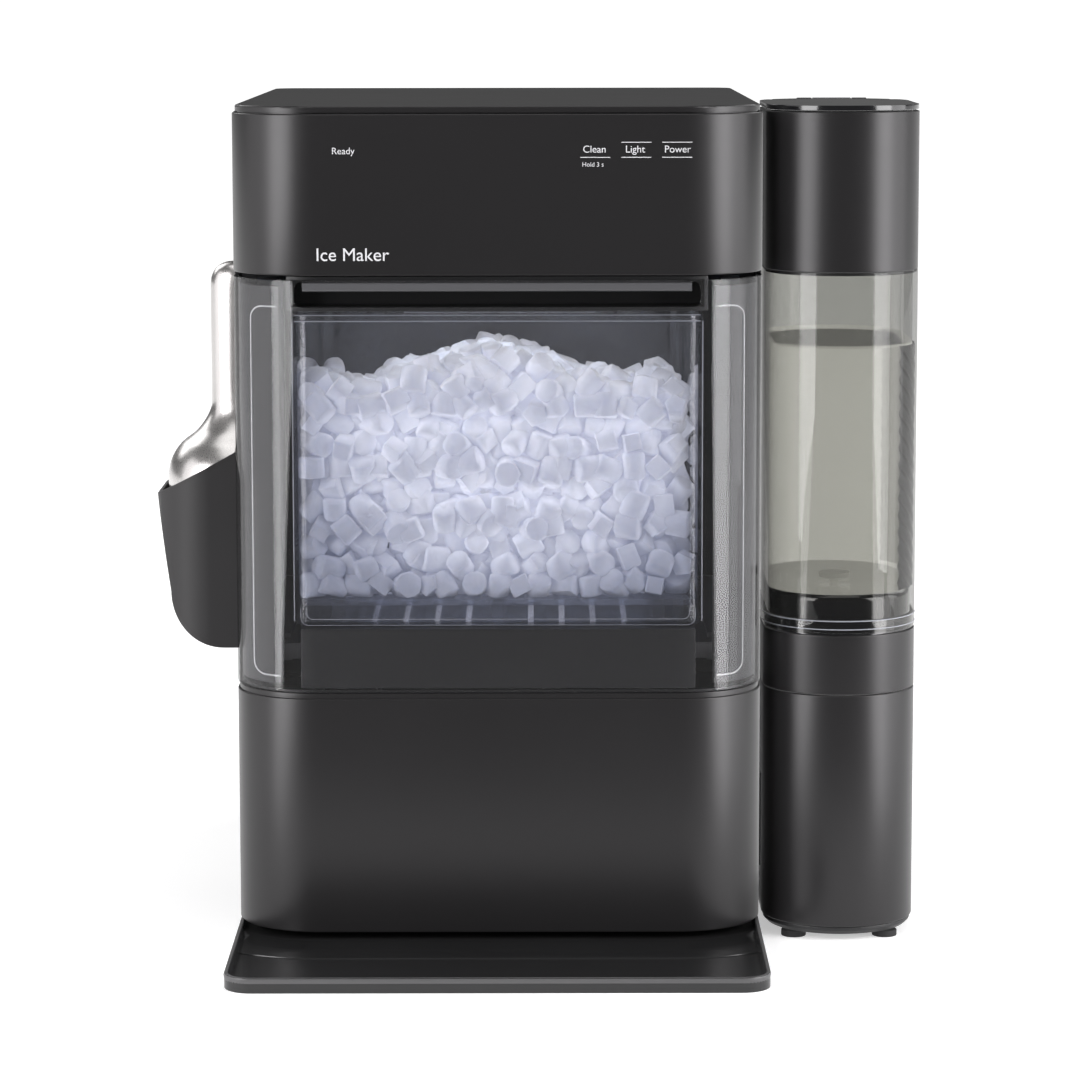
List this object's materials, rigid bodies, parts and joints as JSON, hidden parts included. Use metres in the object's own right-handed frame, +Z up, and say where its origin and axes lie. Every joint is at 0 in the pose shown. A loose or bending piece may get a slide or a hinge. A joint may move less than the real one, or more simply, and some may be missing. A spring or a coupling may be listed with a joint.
{
  "type": "countertop nugget ice maker",
  "caption": "Countertop ice maker with a pull-out clear-front ice drawer, a lift-off side water tank, a magnetic scoop holster and a drip tray.",
  "frame": {"origin": "centre of the footprint at worktop level, halfway between the outermost faces in x and y", "axes": "+Z up, +Y from the drawer front to the rear cover, +X from the scoop side to the water tank side"},
  "size_m": [0.386, 0.4624, 0.4196],
  "materials": {
    "charcoal_panel": "satin, very fine brushed grain",
    "black_plastic": "matt moulded",
    "gloss_black": "gloss",
    "tray_plastic": "satin",
    "holder_plastic": "soft satin",
    "smoke_shell": "clear, smoke tinted",
    "clear_bin": "clear",
    "clear_strainer": "frosted",
    "clear_tank": "clear, warm grey tint",
    "rubber": "matt",
    "polished_steel": "polished",
    "zinc_steel": "plated",
    "white_plastic": "natural nylon",
    "foam": "closed-cell foam",
    "compressor_black": "gloss enamel",
    "aluminium_fins": "bare",
    "copper": "bare copper",
    "circuit_green": "solder mask",
    "led_diffuser": "opal"
  },
  "bodies": {
    "cabinet": {"base_pan": "black_plastic", "cabinet_feet": "rubber", "lower_front_panel": "charcoal_panel", "head_front_panel": "charcoal_panel", "side_panel_left": "charcoal_panel", "side_panel_right": "charcoal_panel", "rear_panel": "charcoal_panel", "top_lid": "charcoal_panel", "head_floor": "black_plastic", "bay_liner": "black_plastic", "drawer_rails": "zinc_steel", "led_bar": "led_diffuser", "control_board": "circuit_green", "touch_board": "circuit_green", "ice_chute": "white_plastic", "evaporator_barrel": "zinc_steel", "evaporator_jacket": "foam", "gearbox": "black_plastic", "gear_motor": "zinc_steel", "compressor": "compressor_black", "compressor_mounts": "rubber", "condenser": "aluminium_fins", "fan_shroud": "black_plastic", "inner_reservoir": "black_plastic", "water_pump": "white_plastic", "refrigerant_lines": "copper", "drain_spouts": "black_plastic", "power_inlet": "black_plastic", "cabinet_screws": "zinc_steel", "dock_feet": "rubber", "dock_base_ring": "black_plastic", "dock_shell": "charcoal_panel", "dock_band": "charcoal_panel", "dock_seat": "black_plastic", "dock_bridge": "black_plastic"},
    "drawer": {"drawer_shell": "smoke_shell", "drawer_surround": "black_plastic", "handle_pocket": "black_plastic", "drawer_handle": "gloss_black", "ice_bin": "clear_bin", "bin_strainer": "clear_strainer", "drawer_carriage": "black_plastic", "drawer_runners": "zinc_steel"},
    "tray": {"drip_tray": "tray_plastic"},
    "fan": {"fan_rotor": "black_plastic"},
    "auger_shaft": {"auger": "zinc_steel", "drive_gear": "white_plastic"},
    "pinion": {"motor_pinion": "white_plastic"},
    "cap_left": {"drain_cap_left": "rubber"},
    "cap_right": {"drain_cap_right": "rubber"},
    "tank": {"tank_base": "gloss_black", "tank_reservoir": "clear_tank", "tank_collar": "charcoal_panel", "hinge_pin": "zinc_steel"},
    "lid": {"tank_lid": "gloss_black", "lid_seal": "rubber"},
    "valve": {"tank_valve": "white_plastic"},
    "holster": {"scoop_holder": "holder_plastic", "holder_magnets": "zinc_steel"},
    "scoop": {"scoop": "polished_steel"}
  },
  "joints": [
    {"name": "drawer_slide", "type": "slide", "parent": "cabinet", "child": "drawer", "axis": [0, -1, 0], "range_m": [0, 0.165]},
    {"name": "tray_slide", "type": "slide", "parent": "cabinet", "child": "tray", "axis": [0, -1, 0], "range_m": [0, 0.15]},
    {"name": "fan_spin", "type": "hinge", "parent": "cabinet", "child": "fan", "pos_m": [-0.1053, 0.01682, 0.063], "axis": [1, 0, 0], "continuous": true},
    {"name": "auger_spin", "type": "hinge", "parent": "cabinet", "child": "auger_shaft", "pos_m": [-0.0175, 0.16482, 0.1953], "axis": [0, 0, 1], "continuous": true},
    {"name": "pinion_spin", "type": "hinge", "parent": "cabinet", "child": "pinion", "pos_m": [-0.055, 0.16482, 0.1953], "axis": [0, 0, 1], "continuous": true},
    {"name": "cap_left_pull", "type": "slide", "parent": "cabinet", "child": "cap_left", "axis": [0, 1, 0], "range_m": [0, 0.03]},
    {"name": "cap_right_pull", "type": "slide", "parent": "cabinet", "child": "cap_right", "axis": [0, 1, 0], "range_m": [0, 0.03]},
    {"name": "tank_lift", "type": "slide", "parent": "cabinet", "child": "tank", "axis": [0, 0, 1], "range_m": [0, 0.2]},
    {"name": "lid_hinge", "type": "hinge", "parent": "tank", "child": "lid", "pos_m": [0.1546, -0.01018, 0.4174], "axis": [-1, 0, 0], "range_deg": [0, 100]},
    {"name": "valve_press", "type": "slide", "parent": "tank", "child": "valve", "axis": [0, 0, 1], "range_m": [0, 0.004], "stiffness_N_per_m": 150, "springref_m": -0.002},
    {"name": "holster_pull", "type": "slide", "parent": "cabinet", "child": "holster", "axis": [-1, 0, 0], "range_m": [0, 0.08]},
    {"name": "scoop_lift", "type": "slide", "parent": "holster", "child": "scoop", "axis": [0, 0, 1], "range_m": [0, 0.15]}
  ],
  "couplings": [
    {"joint": "pinion_spin", "follows": "auger_spin", "ratio": -4}
  ]
}
